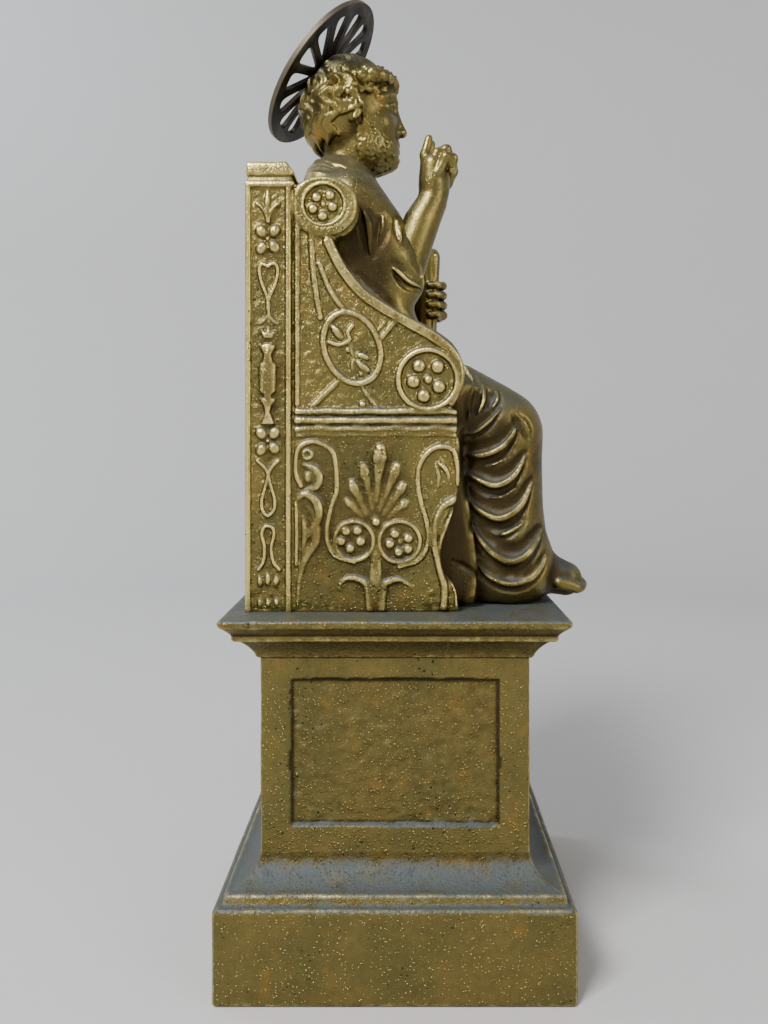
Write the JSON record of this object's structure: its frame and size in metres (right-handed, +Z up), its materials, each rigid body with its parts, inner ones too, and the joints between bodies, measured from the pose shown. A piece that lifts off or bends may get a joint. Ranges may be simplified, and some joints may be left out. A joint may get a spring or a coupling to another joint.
{
  "type": "saint statuette",
  "caption": "Cast bronze statuette of a haloed saint, seated in blessing on a scrolled throne that stands on a square pedestal with a sunk panel on each side.",
  "frame": {"origin": "the middle of the pedestal's underside", "axes": "+Z up; the saint faces -Y and raises the right hand on the -X side"},
  "size_m": [0.08, 0.0877, 0.2374],
  "materials": {
    "gilt_bronze": "olive gold cast bronze with a fine grain, bright worn edges and blue-grey patina on what faces up",
    "worn_bronze": "gilt bronze worn bright on the high places and dark brown in the folds",
    "dark_bronze": "dark brown bronze with a pale worn rim"
  },
  "bodies": {
    "root": {"plinth": "gilt_bronze", "throne": "gilt_bronze", "saint": "worn_bronze", "halo": "dark_bronze"}
  },
  "joints": []
}
